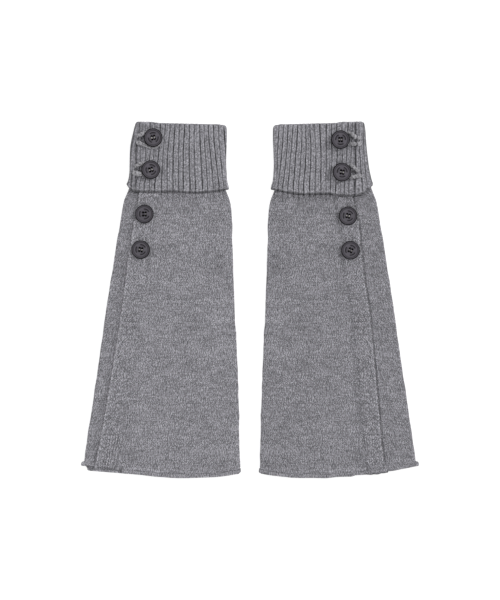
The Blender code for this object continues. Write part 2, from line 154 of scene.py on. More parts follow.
# The lower edge of the turned-down part. Columns: across the cuff, up.
CUFF_HEM = {
    "left": (
        (0, 134), (0.12, 131), (0.25, 127.2), (1, 127.1), (2.25, 127.5), (2.5, 126.3), (2.8, 127.2),
        (3, 129.8), (4, 130), (4.5, 128.6), (5, 134.4), (5.5, 137), (6, 132), (6.5, 129.4),
        (7, 127.2),
    ),
    "right": (
        (0, 133), (0.25, 127.4), (0.5, 122.2), (0.74, 122.3), (1, 123.2), (1.3, 124), (2.1, 124.9),
        (2.4, 124.4), (2.6, 124.7), (3, 129.4), (4, 130), (4.5, 128.6), (5, 134.4), (5.5, 136.4),
        (6, 130.6), (6.22, 129.9), (6.27, 126.6), (7, 122.9),
    ),
}

# The grooves between the ribs on the cuff's front, from the button side to the inner side, as out at
# three heights. Columns: at the top, half way, at the hem.
RIB_UPS = (203.0, 169.0, 134.5)
FRONT_GROOVES = {
    "left": (
        (123.1, 122.2, 130), (117.1, 117.7, 124.2), (111.7, 113.3, 118.2), (105.2, 107.4, 112.3),
        (99.4, 102, 104), (93.4, 96.8, 97.2), (87.9, 90.1, 90.3), (82.5, 83.6, 83.4),
        (76.4, 78.4, 78.4), (70.6, 71.1, 70.2), (65.1, 65.2, 63.9), (58.6, 57.3, 55.6), (53.4, 52, 49.5),
        (48.8, 46, 42.8), (42.7, 40.2, 35.7), (36.9, 34.4, 30.4),
    ),
    "right": (
        (120.7, 118.9, 116.2), (115.5, 113.7, 111.1), (108, 109.1, 106.3), (102.1, 102.7, 100.9),
        (96, 96.6, 94.5), (90.1, 89.9, 89.5), (82.4, 83.8, 83.6), (75.6, 77.8, 76.8), (70.9, 71.9, 70.4),
        (65.9, 65.8, 63.5), (61.5, 60.2, 57.4), (56.5, 54, 51.4), (50.7, 48.1, 44.8), (45, 43.1, 38.9),
        (39.7, 37.3, 33.1), (34.4, 32.3, 28.9),
    ),
}
FLAP_GROOVES = {
    "left": ((134.3, 139.5, 143.8), (132, 136.3, 139.3)),
    "right": ((132.9, 133.9, 137.7), (128.2, 129.3, 132.6)),
}
RIB = 6.2  # the ribs' usual pitch
RIB_STEPS = (0.0, 0.07, 0.13, 0.25, 0.42, 0.58, 0.75, 0.87, 0.93)  # the columns of points in a rib
RIB_DEPTH = 1.35
WALE, COURSE = 2.36, 1.24  # a stitch's width and height
MOSS = (1.6, 1.7)  # the width and height of a square of the band's chequer

# The buttons from top to bottom. Columns: out, up, turns of the arcs and of the holes in degrees, tilt out,
# tilt up, and how thick the thread lies between the left holes and between the right ones.
BUTTONS = {
    "left": (
        (113.5, 190.8, 97, 12, -0.05, -0.02, 0.5, 0.3),
        (116.2, 153, 70, 16, -0.05, 0.01, 0.3, 0.45),
        (124, 101.2, 60, 0, 0.03, 0.01, 0, 0.08),
        (128.3, 59.2, 60, -10, 0.02, 0.05, 0.1, 0.3),
    ),
    "right": (
        (106.5, 188.4, 30, 0, 0.04, -0.02, 0.12, 0.1),
        (108.3, 150.2, 33, -10, 0.05, -0.01, 0.16, 0.42),
        (115.7, 99, 57, -14, 0.02, 0.02, 0.38, 0.38),
        (118.6, 58.5, 57, -24, 0, 0.02, 0.06, 0.12),
    ),
}
BUTTON_RADIUS = 10.95
BUTTON_EDGE = 1.25  # the radius of its rounded edge
RIM_START, RIM_END = 8.4, 9.2  # where its face rises to the rim
ARC_RADII = (5.8, 4.4)
HOLE_X, HOLE_Y, HOLE_RADIUS = 1.5, 1.8, 1.3  # the holes' places from the axis, and their radius

# Small knots of yarn on the band's front edge. Columns: out, up, turn in degrees.
KNOTS = {"left": (), "right": ((124.2, 112.6, 20), (126.0, 104.6, 70), (127.2, 102.4, 10))}

LOOP_RADIUS = 1.55
PLIES = 3
PLY_TWIST, PLY_LUMP = 8.5, 2.6  # the lengths in which a ply goes round once and has one lump
# The loops' routes, each from the flap round its button and back, from the button's axis. Columns: out, up.
LOOPS = {
    ("left", 0): ((19.6, 1.7), (16.4, 2.7), (9.4, 5.9), (2, 7.4), (-5.4, 4.8), (-8.4, -2.4), (-6.4, -8.8),
                  (-1, -11.6), (4.6, -11.2), (12.4, -7.9), (16.4, -6.3), (19.6, -5.6)),
    ("left", 1): ((19, 3.9), (15.6, 5.2), (10, 7.6), (4, 7.8), (-3, 5), (-5, -0.4), (-2.6, -4.4),
                  (3.6, -5.8), (10, -5.2), (16.6, -4.4), (21.4, -3.2)),
    ("right", 0): ((24.6, 2.4), (22.4, 2.2), (18.2, 2.8), (13.4, 6.6), (8, 8.4), (2, 8), (-4, 4.4),
                   (-4.6, -1.4), (0.6, -5.2), (9.6, -5.2), (18.8, -4.9), (22, -4.5), (24.4, -4)),
    ("right", 1): ((20.4, 1), (18, 2), (14.4, 5.4), (9.6, 8.4), (2.6, 7.4), (-3.8, 4.4), (-4.6, -1.4),
                   (1, -5.4), (9, -6), (16.4, -5), (20.4, -4.5), (23.8, -4.3)),
}

# How much darker than their yarn's usual shade the loops are.
LOOP_SHADE = {("left", 0): 0.08, ("left", 1): 0.08, ("right", 0): 0.0, ("right", 1): 0.0}

CAMERA_HEIGHT, PICTURE_HEIGHT = 3000, 708  # PICTURE_HEIGHT is how much of the floor the picture shows

SIDES = {"left": -1, "right": 1}
SEEDS = {"left": 0, "right": 1}  # added to a noise's seed, so that the two warmers differ
# How much darker than their yarn's usual shade each side's body and band are.
DARKER = {"left": (-0.003, -0.098), "right": (0.072, -0.012)}
# How strong the puckers below the cuff are, in depth and in painted shade, and the up at which they end.
PUCKERS = {"left": (0.6, 121.0), "right": (0.95, 118.0)}
PUCKER_DEPTH = 0.7
# The hem's outer corner is a knob: the up of its middle, half its length and how far it stands out.
KNOB_UP, KNOB_HALF, KNOB_OUT = -192.9, 2.9, 2.0
# The painted shade on the knob on each side; a negative value is a painted highlight.
KNOB_PAINTED_SHADE = {"left": -0.3, "right": 0.1}
# How far the hem's inner corner swells out, and how far it is drawn in again below that.
CORNER_SWELL = {"left": 0.8, "right": 0.0}
CORNER_TUCK = {"left": 1.6, "right": 0.8}
# The ribs of the button band near the hem: their pitch, and on each side the painted shade in their
# grooves and their depth.
BAND_RIB = 3.0
BAND_RIBS = {"left": (0.6, 0.32), "right": (0.25, 0.15)}
BAND_HOOK = {"left": 0.0, "right": 3.0}  # how far the band's lower corner reaches outwards
BAND_WORN = {"left": 0.45, "right": 0.0}  # how much thinner and flatter the band's front edge is
# The ribs on the flap: how deep they are, and how dark and how broad the painted shade along its fold is.
FLAP_DEPTH = {"left": 0.9, "right": 0.8}
FLAP_RIM = {"left": (0.52, 0.75), "right": (0.75, 0.62)}
# The under strip's columns of points: how many show, where those beside the band's edge lie, as distances
# from it, and how many are hidden below the band.
SHOWN_COLUMNS, HIDDEN_COLUMNS = 14, 6
EDGE_COLUMNS = (2.2, 1.6, 1.15, 0.8, 0.5, 0.2, -0.2, -0.8)
# Columns added to the tube, at its seam with the band and round the two short steps in its hem.
STEP_COLUMNS = (0.001, 0.042, 0.045, 0.048, 2.9785, 2.981, 2.9835)
MIDDLE_COLUMN = 31  # the tube's column from which distances across it are measured


# ---- curves and noise


def ramp(x, start, end):
    """0 up to start, 1 from end on, and smooth between."""
    share = np.clip((x - start) / (end - start), 0, 1)
    return share * share * (3 - 2 * share)


def blend(first, second, share):
    return first + (second - first) * share


def bell(x, width):
    return np.exp(-((x / width) ** 2))


def through(rows, x, column=1):
    """The value at x of a smooth curve through a table's rows, which doesn't overshoot between them."""
    rows = sorted(rows)
    at = np.array([row[0] for row in rows])
    value = np.array([row[column] for row in rows])
    chord = np.diff(value) / np.diff(at)
    slope = np.concatenate([chord[:1], (chord[1:] + chord[:-1]) / 2, chord[-1:]])
    slope[1:-1][chord[1:] * chord[:-1] <= 0] = 0
    steepest = 3 * np.minimum(np.abs(np.append(chord, chord[-1])), np.abs(np.insert(chord, 0, chord[0])))
    slope = np.clip(slope, -steepest, steepest)
    x = np.clip(x, at[0], at[-1])
    i = np.clip(np.searchsorted(at, x, side="right") - 1, 0, len(at) - 2)
    width = at[i + 1] - at[i]
    t = (x - at[i]) / width
    start = (1 + 2 * t) * (1 - t) ** 2 * value[i] + t * (1 - t) ** 2 * width * slope[i]
    end = t * t * (3 - 2 * t) * value[i + 1] - t * t * (1 - t) * width * slope[i + 1]
    return start + end


def lengths(first, second, axis=0):
    """How far each point of a curve, or of a grid's curves, is from the start, in two coordinates."""
    step = np.hypot(np.diff(first, axis=axis), np.diff(second, axis=axis))
    return np.insert(np.cumsum(step, axis=axis), 0, 0, axis=axis)


def stations(*counts):
    """Places along a path of several stages, each cut into its own number of steps."""
    stages = [np.linspace(stage, stage + 1, count, endpoint=False) for stage, count in enumerate(counts)]
    return np.append(np.concatenate(stages), len(counts))


def waves(seed, x, y, longest, shortest, count=24):
    """Smooth uneven noise between about -1 and 1: plane waves of random directions and lengths."""
    rng = np.random.default_rng(seed)
    length = np.exp(rng.uniform(math.log(shortest), math.log(longest), count))
    angle = rng.uniform(0, 2 * math.pi, count)
    phase = rng.uniform(0, 2 * math.pi, count)
    total = 0
    for n in range(count):
        k = 2 * math.pi / length[n]
        total = total + np.sin(k * (x * math.cos(angle[n]) + y * math.sin(angle[n])) + phase[n])
    return total / math.sqrt(count / 2) / 2


def wander(seed, x, longest, shortest):
    """The same along a line."""
    return waves(seed, x, 0 * x, longest, shortest, 9)


# ---- the layers of cloth


def body_layers(up):
    """(height of the body's back, pitch to the layer above it)."""
    on_cuff = ramp(up, *CUFF_RISE)
    on_hem = ramp(up, *HEM_RISE)
    back_on_cuff = CUFF_WALL / 2 + CUFF_PITCH
    back = blend(BODY_WALL / 2, back_on_cuff, on_cuff) + on_hem * BODY_PITCH
    return back, blend(BODY_PITCH, CUFF_PITCH, on_cuff)


def body_section(side, up, across, turned):
    """(out, high) of the flattened tube. across runs 0-1 over the front from the band's seam, 1-2 round
    the inner fold, 2-3 along the back, 3-4 round the outer fold and 4-5 along the under strip. The
    turned layer is the curled hem, one pitch outside the tube."""
    back, pitch = body_layers(up)
    outward = pitch if turned else 0
    radius = pitch / 2
    clear = radius + BODY_WALL / 2
    table = BODY_OUTLINE[side]
    corner = CORNER_TUCK[side] * ramp(up, -196, -199) - CORNER_SWELL[side] * ramp(up, -186, -190)
    inner = through(table, up, INNER) + clear + 0.35 * wander(5, up, 60, 15) + corner
    knob = KNOB_OUT * np.sqrt(np.clip(1 - ((up - KNOB_UP) / KNOB_HALF) ** 2, 0, 1))
    outer = through(table, up, OUTER) - clear + 0.35 * wander(6, up, 60, 15) + knob
    edge = through(BAND_EDGE[side], up)
    stage = np.minimum(across.astype(int), 4)
    part = across - stage
    bulge = (radius + outward) * np.sin(math.pi * part)
    tilt = (radius + outward) * np.cos(math.pi * part)
    out = (
        blend(edge - BAND_WIDTH - SEAM_GAP, inner, part),
        inner - bulge,
        blend(inner, outer, part),
        outer + bulge,
        blend(outer, edge - UNDERLAP, part),
    )
    top = back + pitch + outward
    middle = back + radius
    high = (top, middle + tilt, back - outward, middle - tilt, top)
    return np.choose(stage, out), np.choose(stage, high)


def above_seam(side, up):
    """How far up the cuff a point is, from 0 at its seam to 1 at its top."""
    return np.clip((up - SEAM_UP) / (CUFF_OUTLINE[side][0][0] - SEAM_UP), 0, 1)


def under_edge(side, up):
    """The hidden edge of the cuff's under strip: the flap's edge at the top, the body's at the seam."""
    at_seam = through(BAND_EDGE[side], np.minimum(up, SEAM_UP)) - UNDERLAP
    return blend(at_seam, CUFF_OUTLINE[side][0][FLAP], above_seam(side, up))


def front_edge(side, up, turned):
    """The edge of the cuff's front layer, which on the turned-down part lies inside the flap's fold."""
    inside_fold = through(CUFF_OUTLINE[side], up, OUTER) - FLAP_REACH - CUFF_WALL / 2 - FRONT_INSET
    if turned:
        return inside_fold
    return blend(through(BAND_EDGE[side], up), inside_fold, above_seam(side, up))


def cuff_section(side, up, across, turned):
    """(out, high) of the cuff. across runs 0-1 over the front where it lies on the under strip, 1-2 down
    from it, 2-3 over the rest of the front, 3-4 round the inner fold, 4-5 along the back, 5-6 round the
    outer fold and 6-7 along the under strip or, on the turned-down part, the flap."""
    table = CUFF_OUTLINE[side]
    level = 1 if turned else 0
    back = CUFF_WALL / 2 + (1 - level) * CUFF_PITCH
    front = CUFF_WALL / 2 + (2 + level) * CUFF_PITCH
    last = front + 2 * level * CUFF_PITCH
    middle = (back + front) / 2
    radius = (front - back) / 2
    inner = through(table, up, INNER) + 1.5 * CUFF_PITCH + CUFF_WALL / 2
    outer = through(table, up, OUTER) - FLAP_REACH - CUFF_WALL / 2 - (1 - level) * FLAP_NEST
    reach = FLAP_REACH if turned else radius
    fall_start = under_edge(side, up) - 2 * GAP
    fall_end = fall_start - CUFF_FALL
    last_edge = through(table, up, FLAP) + CUFF_WALL / 2 if turned else under_edge(side, up)
    stage = np.minimum(across.astype(int), 6)
    part = across - stage
    sine = np.sin(math.pi * part)
    cosine = np.cos(math.pi * part)
    out = (
        blend(front_edge(side, up, turned), fall_start, part),
        blend(fall_start, fall_end, part),
        blend(fall_end, inner, part),
        inner - radius * sine,
        blend(inner, outer, part),
        outer + reach * sine,
        blend(outer, last_edge, part),
    )
    high = (
        front + CUFF_PITCH,
        front + CUFF_PITCH * (1 - ramp(part, 0, 1)),
        front,
        middle + radius * cosine,
        back,
        (back + last) / 2 - (last - back) / 2 * cosine,
        last,
    )
    return np.choose(stage, out), np.choose(stage, high)


def turned_sheet(section, side, across, rows, fold, end, steps, way):
    """(out, up, high, turn) grids of a sheet that runs from its seam to a fold and turns back on itself.
    across is a row of places or a function of up that gives them. rows is a grid of the ups before the
    fold, fold is that of the fold's axis, end is where the turned part ends, steps says how many rows go
    round the fold and back, way is 1 for a fold at the top, and turn is the angle turned so far."""
    along = stations(*steps)[:, None]
    up = np.concatenate([rows, blend(fold, end, np.clip(along - 1, 0, 1))])
    turn = math.pi * np.concatenate([0 * rows[:, :1], np.clip(along, 0, 1)]) + 0 * up
    across = across(up) if callable(across) else np.broadcast_to(across, up.shape)
    first_out, first_high = section(side, up, across, False)
    second_out, second_high = section(side, up, across, True)
    share = (1 - np.cos(turn)) / 2
    half = np.hypot(second_out - first_out, second_high - first_high) / 2
    out = blend(first_out, second_out, share)
    high = blend(first_high, second_high, share)
    return out, up + way * half * np.sin(turn), high, turn


def band_high(up, offset):
    """The height of the button band at a distance from its front edge."""
    back, pitch = body_layers(up)
    over_curl = ramp(up, *HEM_RISE) * BODY_PITCH
    on_strip = back + 2 * pitch + over_curl
    return blend(on_strip, back + pitch, ramp(offset, *BAND_FALL))


def cuff_top(side, out, up):
    """The upper surface of the turned-down cuff's front, and of the flap on it."""
    fall_start = under_edge(side, up) - 2 * GAP
    low = CUFF_WALL + 3 * CUFF_PITCH
    flap = through(CUFF_OUTLINE[side], up, FLAP)
    on_strip = ramp(out, fall_start - CUFF_FALL, fall_start)
    on_flap = ramp(out, flap - 2 * FLAP_STEP, flap - FLAP_STEP)
    return low + CUFF_PITCH * (on_strip + on_flap)


def cuff_hem_above(side, out):
    """How low the cuff or its flap reaches over each point of the body's front."""
    across = np.concatenate([np.linspace(0, 3, 61), np.linspace(6, 7, 21)])
    at, _ = cuff_section(side, 0 * across + CUFF_HEM_UP, across, True)
    low = through(CUFF_HEM[side], across)
    front = np.interp(out, at[60::-1], low[60::-1])
    flap = np.interp(out, at[:60:-1], low[:60:-1])
    return np.where(out > through(CUFF_OUTLINE[side], CUFF_HEM_UP, FLAP), flap, front)


def cuff_painted_shadow(side, out, up):
    """The cuff's shadow painted on the cloth, in a line along its lower edge."""
    below = cuff_hem_above(side, out) - up
    soft = 1 - 0.7 * bell(out - 118, 4) - 0.6 * ramp(out, 130, 137) if side == "right" else 1
    return (0.1 * bell(below - 1.4, 1.8) + 0.52 * bell(below - 0.4, 0.58)) * soft


def lift(side, out, up):
    """How far the soft waves of the laid-out body raise its front."""
    inside = ramp(up, 112, 90) * ramp(up, -188, -150)
    return 0.6 * inside * (1 + waves(11 + SEEDS[side], out, up, 130, 45))


def placed(side, out, up, high):
    """Points in metres, in the pair's frame."""
    return np.stack([SIDES[side] * out, up, high], axis=-1) * MM


# ---- meshes


def unit(v):
    return v / np.maximum(np.linalg.norm(v, axis=-1, keepdims=True), 1e-12)


def linked(name, data):
    made = bpy.data.objects.new(name, data)
    bpy.context.scene.collection.objects.link(made)
    return made


def new_object(name, points, faces, surface, coords=None):
    mesh = bpy.data.meshes.new(name)
    mesh.from_pydata(points.tolist(), [], faces.tolist() if hasattr(faces, "tolist") else faces)
    mesh.materials.append(surface)
    if coords is not None:
        knit = mesh.attributes.new("knit", "FLOAT_VECTOR", "POINT")
        knit.data.foreach_set("vector", np.ascontiguousarray(coords, dtype=np.float32).ravel())
    mesh.shade_smooth()
    return linked(name, mesh)


def fixed(piece, node=None):
    """A piece of the pair and the CAD node that it stands for."""
    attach(piece, "root")
    if node:
        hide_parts(node)
    return piece


def shell(name, side, middle, over, under, coords, surface, square=()):
    """A closed sheet of cloth with rounded edges. middle holds the (out, up, high) grids of its middle
    surface, over and under how far its two faces are from it, and coords what its material reads. square
    names the columns whose edge is cut flat, because it meets another piece there."""
    points = placed(side, *middle)
    rows, columns = points.shape[:2]
    along = np.gradient(points, axis=0)
    across = np.gradient(points, axis=1)
    normal = unit(np.cross(along, across)) * SIDES[side]
    over, under = (np.broadcast_to(x, (rows, columns))[..., None] * MM for x in (over, under))
    faces_out = (points + normal * over).reshape(-1, 3)
    faces_in = (points - normal * under).reshape(-1, 3)
    index = np.arange(rows * columns).reshape(rows, columns)
    border = np.concatenate([index[0, :-1], index[:-1, -1], index[-1, :0:-1], index[:0:-1, 0]])
    away = np.zeros_like(points)
    away[0] -= unit(along[0])
    away[-1] += unit(along[-1])
    away[:, 0] -= unit(across[:, 0])
    away[:, -1] += unit(across[:, -1])
    away = unit(away)
    for column in square:
        away[:, column] *= 0.02
    away = away.reshape(-1, 3)[border]
    upward = normal.reshape(-1, 3)[border]
    middle_height = ((over - under) / 2).reshape(-1, 1)[border]
    half = ((over + under) / 2).reshape(-1, 1)[border]
    core = points.reshape(-1, 3)[border] + upward * middle_height
    rings = [core + half * (upward * math.cos(a) + away * math.sin(a)) for a in np.radians((45, 90, 135))]
    count, edge = rows * columns, len(border)
    vertices = np.concatenate([faces_out, faces_in, *rings])
    vertices[:, 2] = np.maximum(vertices[:, 2], 0)
    corners = index[:-1, :-1], index[1:, :-1], index[1:, 1:], index[:-1, 1:]
    quads = np.stack(corners, axis=-1).reshape(-1, 4)
    loops = [border, *(2 * count + n * edge + np.arange(edge) for n in range(3)), border + count]
    walls = [np.stack([a, b, np.roll(b, -1), np.roll(a, -1)], axis=-1) for a, b in zip(loops, loops[1:])]
    faces = np.concatenate([quads, quads[:, ::-1] + count, *walls])[:, ::SIDES[side]]
    flat = coords.reshape(-1, 3)
    ring_coords = np.tile(flat[border], (3, 1))
    return new_object(name, vertices, faces, surface, np.concatenate([flat, flat, ring_coords]))


def knit_coords(out, up, high, start_column, painted_shade_and_tone):
    """What the knit material reads at each point: the distance across the cloth from a column of points,
    the distance along it from its first row, and its tone with the shade painted on it: darker in grooves,
    hollows and painted shadows, and lighter where a highlight is painted."""
    across = lengths(out, high, 1)
    across -= across[:, start_column][:, None]
    along = lengths(up, high)
    return np.stack([across, along, np.broadcast_to(painted_shade_and_tone, across.shape)], axis=-1)


# ---- materials


class Tree:
    """Short names for the nodes of a material."""

    def __init__(self, name):
        self.material = bpy.data.materials.new(name)
        self.material.use_nodes = True
        self.tree = self.material.node_tree
        self.shader = self.tree.nodes["Principled BSDF"]

    def put(self, socket, value):
        if isinstance(value, bpy.types.NodeSocket):
            self.tree.links.new(value, socket)
        else:
            socket.default_value = value

    def set(self, name, value):
        self.put(self.shader.inputs[name], value)

    def node(self, kind, inputs=(), **settings):
        made = self.tree.nodes.new(kind)
        for name, value in settings.items():
            setattr(made, name, value)
        for name, value in dict(inputs).items():
            self.put(made.inputs[name], value)
        return made

    def math(self, operation, *values):
        made = self.node("ShaderNodeMath", operation=operation)
        for socket, value in zip(made.inputs, values):
            self.put(socket, value)
        return made.outputs[0]

    def add(self, first, *others):
        for other in others:
            first = self.math("ADD", first, other)
        return first

    def times(self, first, *others):
        for other in others:
            first = self.math("MULTIPLY", first, other)
        return first

    def line(self, value, slope, start):
        return self.math("MULTIPLY_ADD", value, slope, start)

    def around(self, value, amount):
        """A factor round 1 that follows a value from 0 to 1."""
        return self.line(value, amount, 1 - amount / 2)

    def less(self, value, other):
        return self.math("SUBTRACT", value, other)

    def floor(self, value):
        return self.math("FLOOR", value)

    def fract(self, value):
        return self.math("FRACT", value)

    def vector(self, x=0.0, y=0.0, z=0.0):
        return self.node("ShaderNodeCombineXYZ", {"X": x, "Y": y, "Z": z}).outputs[0]

    def noise(self, vector, scale=1.0, detail=2.0, roughness=0.5):
        inputs = {"Vector": vector, "Scale": scale, "Detail": detail, "Roughness": roughness}
        return self.node("ShaderNodeTexNoise", inputs).outputs["Fac"]

    def random(self, *place):
        return self.node("ShaderNodeTexWhiteNoise", {"Vector": self.vector(*place)}).outputs["Value"]

    def coords(self):
        knit = self.node("ShaderNodeAttribute", attribute_name="knit")
        return self.node("ShaderNodeSeparateXYZ", {"Vector": knit.outputs["Vector"]}).outputs

    def finish(self, colour, shade, specular):
        scaled = self.node("ShaderNodeVectorMath", {"Vector": colour, "Scale": shade}, operation="SCALE")
        self.set("Base Color", scaled.outputs[0])
        self.set("Specular IOR Level", specular)
        return self.material

    def woolly(self, fibre):
        """Matt, with a little sheen."""
        self.set("Roughness", self.line(fibre, 0.2, 0.8))
        self.set("Sheen Weight", 0.12)

    def bump(self, height, distance, strength=1.0):
        inputs = {"Strength": strength, "Distance": distance * MM, "Height": height}
        self.set("Normal", self.node("ShaderNodeBump", inputs).outputs[0])


def knit_material(name, colour, size, grain, lean, ranks, streak, cloud, relief, moss=0.0):
    """Heather yarn, knitted: each stitch is a pair of slanted legs, of which one or the other is painted
    lighter, as if it caught the light, and tones run along the courses. size holds the width and height of
    these tones, and relief is the stitches' depth. grain, lean, ranks, streak and cloud are how strongly
    the colour varies from stitch to stitch, in painted light and shade between a stitch's legs and between
    its middle and its sides, along the courses and over broad patches. moss is how strong a small chequer
    of raised stitches is, in bump and in painted light and shade, which fades out towards the seam."""
    tree = Tree(name)
    across, along, painted_shade_and_tone = tree.coords()

    def spread(per_across, per_along, seed=0.0, detail=2.0, roughness=0.5):
        place = tree.vector(tree.times(across, per_across), tree.times(along, per_along), seed)
        return tree.noise(place, 1.0, detail, roughness)

    bend = spread(0.09, 0.09, detail=3.0)
    across = tree.line(bend, 1.0, across)
    along = tree.line(bend, -1.2, along)
    column = tree.times(across, 1 / WALE)
    off_centre = tree.times(tree.math("ABSOLUTE", tree.less(tree.fract(column), 0.5)), 2)
    row = tree.add(tree.times(along, 1 / COURSE), tree.times(off_centre, 0.15 if moss else 0.4))
    place = tree.floor(column), tree.floor(row)
    leg = tree.math("SINE", tree.times(tree.fract(row), math.pi))
    side = tree.less(tree.times(off_centre, 2), 1.0)
    ridge = tree.less(1.0, tree.times(side, side))
    height = tree.times(tree.math("POWER", ridge, 0.6), tree.line(leg, 0.6, 0.4))
    fibre = spread(1.3, 1.9, detail=3.0, roughness=0.7)
    yarn = spread(1 / size[0], 1 / size[1], 3.1, roughness=0.6)
    drift = spread(1 / 24, 1 / 8, 7.7)
    slow = spread(0.3, 0.06, 2.6)
    turns = tree.times(column, 2 * math.pi)
    # Painted light and shade: one leg of each stitch lighter and the other darker, and each stitch's sides
    # darker than its middle.
    painted_leg_light = tree.times(tree.math("SINE", turns), tree.line(tree.random(*place, 4.0), lean, -lean / 2))
    level = tree.line(tree.random(*place, 9.0), lean, -lean / 2)
    between = tree.times(tree.math("COSINE", turns), tree.less(level, tree.times(slow, 2 * ranks)))
    squares = tree.add(*(tree.floor(tree.times(at, 1 / width)) for at, width in zip((across, along), MOSS)))
    chequer = tree.less(tree.times(tree.fract(tree.times(squares, 0.5)), 2), 0.5)
    span = {"Value": across, "From Min": 24, "From Max": 13, "To Min": 0, "To Max": moss}
    raised = tree.times(chequer, tree.node("ShaderNodeMapRange", span).outputs["Result"])
    # The colour's factor: the yarn's random tones times the painted light and shade of the legs, the
    # stitch's sides, its low parts and the chequer's squares, and the painted shade and tone from the mesh.
    shade = tree.times(
        tree.around(tree.random(*place), grain),
        tree.around(fibre, 0.7),
        tree.around(yarn, streak),
        tree.around(drift, cloud),
        tree.add(1.0, painted_leg_light, between),
        tree.line(height, 0.3, 0.8),
        tree.add(1.0, raised),
        tree.line(painted_shade_and_tone, -0.9, 1.0),
    )
    tree.bump(tree.add(height, tree.times(fibre, 0.5), raised), relief)
    tree.woolly(fibre)
    return tree.finish(colour, shade, 0.2)


def button_material():
    tree = Tree("button_plastic")
    x, y, painted_shade_and_tone = tree.coords()
    place = tree.vector(x, y)
    cloudy = tree.noise(place, 0.25, 3.0, 0.6)
    grain = tree.noise(place, 3.0, 2.0)
    tree.set("Roughness", tree.line(painted_shade_and_tone, 0.3, tree.line(cloudy, 0.25, 0.4)))
    tree.bump(grain, 0.05, 0.4)
    # The mesh's painted shade darkens the arcs, the holes, a ring inside the rim, the outline and the edge.
    shade = tree.times(tree.around(cloudy, 0.5), tree.line(painted_shade_and_tone, -0.98, 1.0))
    return tree.finish((0.092, 0.0855, 0.1), shade, 0.12)


def yarn_material(name, colour):
    """Spun yarn: its loose fibres show as bump and uneven tone, and painted shade darkens it between
    the plies.
    """
    tree = Tree(name)
    place = tree.node("ShaderNodeTexCoord").outputs["Object"]
    fibre = tree.noise(place, 1300.0, 3.0, 0.8)
    blotch = tree.noise(place, 600.0, 2.0, 0.6)
    tree.woolly(fibre)
    tree.bump(fibre, 0.3, 0.8)
    ply_shade_and_tone = tree.line(tree.coords()[2], -0.9, 1.0)
    return tree.finish(colour, tree.times(tree.around(fibre, 1.5), tree.around(blotch, 1.8), ply_shade_and_tone), 0.2)


# ---- cloth pieces


def body_rows(last):
    """The ups of a grid's rows down to where they draw together towards a hem. last is the row above the
    hem, with a value for each column of points."""
    near_cuff = np.linspace(SEAM_UP, 118, 38), (116.5, 114.5, 112, 109)
    rows = np.concatenate([*near_cuff, np.linspace(106, -160, 90), np.linspace(-163, -185, 9)])
    lead = np.broadcast_to(rows[:, None], (len(rows), len(last)))
    return np.concatenate([lead, blend(rows[-1], last, np.linspace(0, 1, 10)[1:, None])])


def strip_columns(side, up):
    """Where the under strip's columns of points lie across the tube, so that some follow the band's edge.
    up has one column for each of them."""
    outer = body_section(side, up, 4 + 0 * up, False)[0]
    edge = through(BAND_EDGE[side], up)
    near = np.append(EDGE_COLUMNS, np.linspace(-2, -UNDERLAP, HIDDEN_COLUMNS))
    at_edge = np.append(np.full(SHOWN_COLUMNS, EDGE_COLUMNS[0] + 0.7), near)
    share = np.append(np.linspace(0, 1, SHOWN_COLUMNS + 1)[1:], np.ones(len(near)))
    beyond = blend(outer - edge, at_edge, share)
    return 4 + np.clip((outer - edge - beyond) / (outer - edge + UNDERLAP), 0.001, 1)


def beside_band_painted_shade(side, out, up):
    """The painted shade on the under strip beside the band's edge: on the left warmer a broad soft painted
    shadow, with a painted highlight right at the edge, and on the right one a thin painted dark line."""
    beyond = out - through(BAND_EDGE[side], up)
    near = 0.85 + 0.25 * wander(71, up, 70, 14)
    if side == "left":
        # light is a painted highlight along the edge.
        light = (0.17 + 0.2 * ramp(up, 40, -180)) * bell(beyond - 0.3, 1.2)
        near = near * (1 - 0.45 * ramp(up, -135, -185))
        return 0.175 * bell(beyond - 2.4, 3.2) * near - light
    line = 0.6 * bell(beyond - 0.6, 0.62) * (1 + 0.4 * ramp(up, 100, 112)) - 0.08 * bell(beyond - 2.4, 1.4)
    return line * near - 0.07 * ramp(up, -186, -192)


def pucker(side, out, up):
    """(depth, painted shade) of the short troughs below the cuff, where the last rows of its ribs run out
    into the plain knit. They are of different lengths."""
    grooves = np.array([row[2] for row in FRONT_GROOVES[side]])
    nearest = np.abs(out[..., None] - grooves).argmin(axis=-1)
    near = out - grooves[nearest]
    shade, lowest = PUCKERS[side]
    ends = lowest + 2.5 * np.sin(nearest * 2.3)
    share = shade * bell(near, 0.95) * ramp(up, ends - 3, ends + 3)
    return PUCKER_DEPTH * share, share


def on_front(stage):
    """1 on the body's front and its under strip, and 0 on its back."""
    return np.clip(ramp(stage, 1.3, 1.0) + ramp(stage, 3.7, 4.0), 0, 1)


def body_tone_and_painted_shade(side, stage, out, up, turn, end):
    """The body's tone with light and shade painted on it: a painted shadow beside the band and below the
    cuff, painted shade in the puckers and at the back's open hem, a painted highlight or shade on the outer
    corner's knob, and painted light on the curl and along its edge, which ends at the ups in end."""
    unturned = turn < 0.2
    back = ramp(stage, 2.0, 2.2) * ramp(stage, 3.1, 3.0)
    corner = ramp(stage, 3.0, 3.2) * ramp(stage, 4.3, 4.0)
    inside = ramp(out, 186, 181)
    # Painted shadow where the back's open hem lies under the layers above it, lighter towards the inner
    # side.
    open_hem_painted_shade = (0.1 - 0.3 * inside) * ramp(up, -195, -199) + (0.35 - 0.25 * inside) * bell(up + 197.4, 0.8)
    return (
        DARKER[side][0]
        + np.where(stage > 4, beside_band_painted_shade(side, out, up), 0) * unturned
        + cuff_painted_shadow(side, out, up) * on_front(stage)
        + 0.6 * pucker(side, out, up)[1] * (stage < 1.2)
        + open_hem_painted_shade * back
        + KNOB_PAINTED_SHADE[side] * bell(up + 191.5, 2.2) * corner
        - 0.07 * ramp(turn, 0.3, 1.0)
        - 0.24 * bell(up - end - 0.8, 1.6) * unturned
    )


